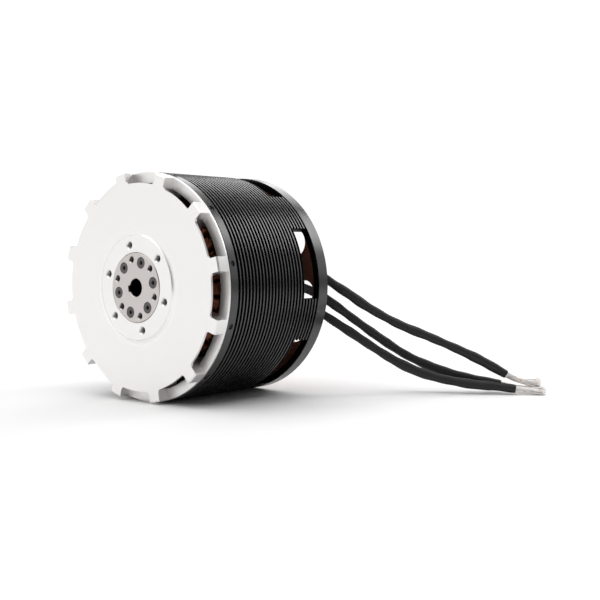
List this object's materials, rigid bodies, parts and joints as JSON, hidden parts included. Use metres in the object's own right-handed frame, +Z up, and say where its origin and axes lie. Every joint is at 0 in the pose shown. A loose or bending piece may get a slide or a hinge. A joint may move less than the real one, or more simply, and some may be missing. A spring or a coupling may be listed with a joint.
{
  "type": "brushless outrunner motor",
  "caption": "Large outrunner motor: silver spoked end cap and black barrel that turn round a wound stator on ball bearings, with a rear mounting flange and free leads.",
  "frame": {"origin": "centre of the rear mounting face, on the motor axis", "axes": "+Y along the shaft out of the rear mounting face, -Y out of the silver cap, +Z up as the motor lies on its barrel, +X towards the leads"},
  "size_m": [0.2631, 0.2145, 0.1496],
  "materials": {
    "satin_aluminium": "satin machined, clear anodised",
    "black_anodised": "satin black anodised",
    "ground_steel": "fine turned",
    "black_oxide": "black oxide",
    "magnet_nickel": "nickel plated magnets",
    "flux_steel": "dark plated steel",
    "lamination_steel": "stacked laminations, varnished",
    "enamelled_copper": "reddish-brown enamelled copper wire",
    "bearing_steel": "polished bearing steel",
    "hub_aluminium": "dark anodised",
    "bronze_anodised": "brown anodised",
    "braided_sleeve": "black braided sleeve over wire",
    "tinned_copper": "tinned copper strands"
  },
  "bodies": {
    "stator": {"clamp_screw_1": "black_oxide", "clamp_screw_2": "black_oxide", "flange_screw_1": "black_oxide", "flange_screw_2": "black_oxide", "flange_screw_3": "black_oxide", "flange_screw_4": "black_oxide", "flange_screw_5": "black_oxide", "flange_screw_6": "black_oxide", "front_bearing_outer_race": "bearing_steel", "lead_clamp": "black_anodised", "lead_end_u": "tinned_copper", "lead_end_v": "tinned_copper", "lead_end_w": "tinned_copper", "lead_u": "braided_sleeve", "lead_v": "braided_sleeve", "lead_w": "braided_sleeve", "mount_flange": "bronze_anodised", "preload_washer": "ground_steel", "rear_bearing_outer_race": "bearing_steel", "stator_core": "lamination_steel", "stator_hub": "hub_aluminium", "winding_phase_u": "enamelled_copper", "winding_phase_v": "enamelled_copper", "winding_phase_w": "enamelled_copper"},
    "rotor": {"bearing_spacer": "ground_steel", "flux_ring": "flux_steel", "front_bearing_inner_race": "bearing_steel", "front_cap": "satin_aluminium", "front_spacer": "ground_steel", "grub_screw_1": "black_oxide", "grub_screw_10": "black_oxide", "grub_screw_11": "black_oxide", "grub_screw_12": "black_oxide", "grub_screw_2": "black_oxide", "grub_screw_3": "black_oxide", "grub_screw_4": "black_oxide", "grub_screw_5": "black_oxide", "grub_screw_6": "black_oxide", "grub_screw_7": "black_oxide", "grub_screw_8": "black_oxide", "grub_screw_9": "black_oxide", "hub_screw_1": "black_oxide", "hub_screw_2": "black_oxide", "hub_screw_3": "black_oxide", "hub_screw_4": "black_oxide", "hub_screw_5": "black_oxide", "hub_screw_6": "black_oxide", "magnet_ring": "magnet_nickel", "rear_bearing_inner_race": "bearing_steel", "rotor_barrel": "black_anodised", "shaft": "ground_steel", "shaft_circlip": "black_oxide"},
    "front_ball_set": {"front_bearing_balls": "bearing_steel"},
    "rear_ball_set": {"rear_bearing_balls": "bearing_steel"}
  },
  "joints": [
    {"name": "rotor_spin", "type": "hinge", "parent": "stator", "child": "rotor", "pos_m": [0, 0, 0], "axis": [0, 1, 0], "continuous": true},
    {"name": "front_balls_spin", "type": "hinge", "parent": "stator", "child": "front_ball_set", "pos_m": [0, -0.082, 0], "axis": [0, 1, 0], "continuous": true},
    {"name": "rear_balls_spin", "type": "hinge", "parent": "stator", "child": "rear_ball_set", "pos_m": [0, -0.015, 0], "axis": [0, 1, 0], "continuous": true}
  ],
  "couplings": [
    {"joint": "front_balls_spin", "follows": "rotor_spin", "ratio": 0.397},
    {"joint": "rear_balls_spin", "follows": "rotor_spin", "ratio": 0.397}
  ]
}
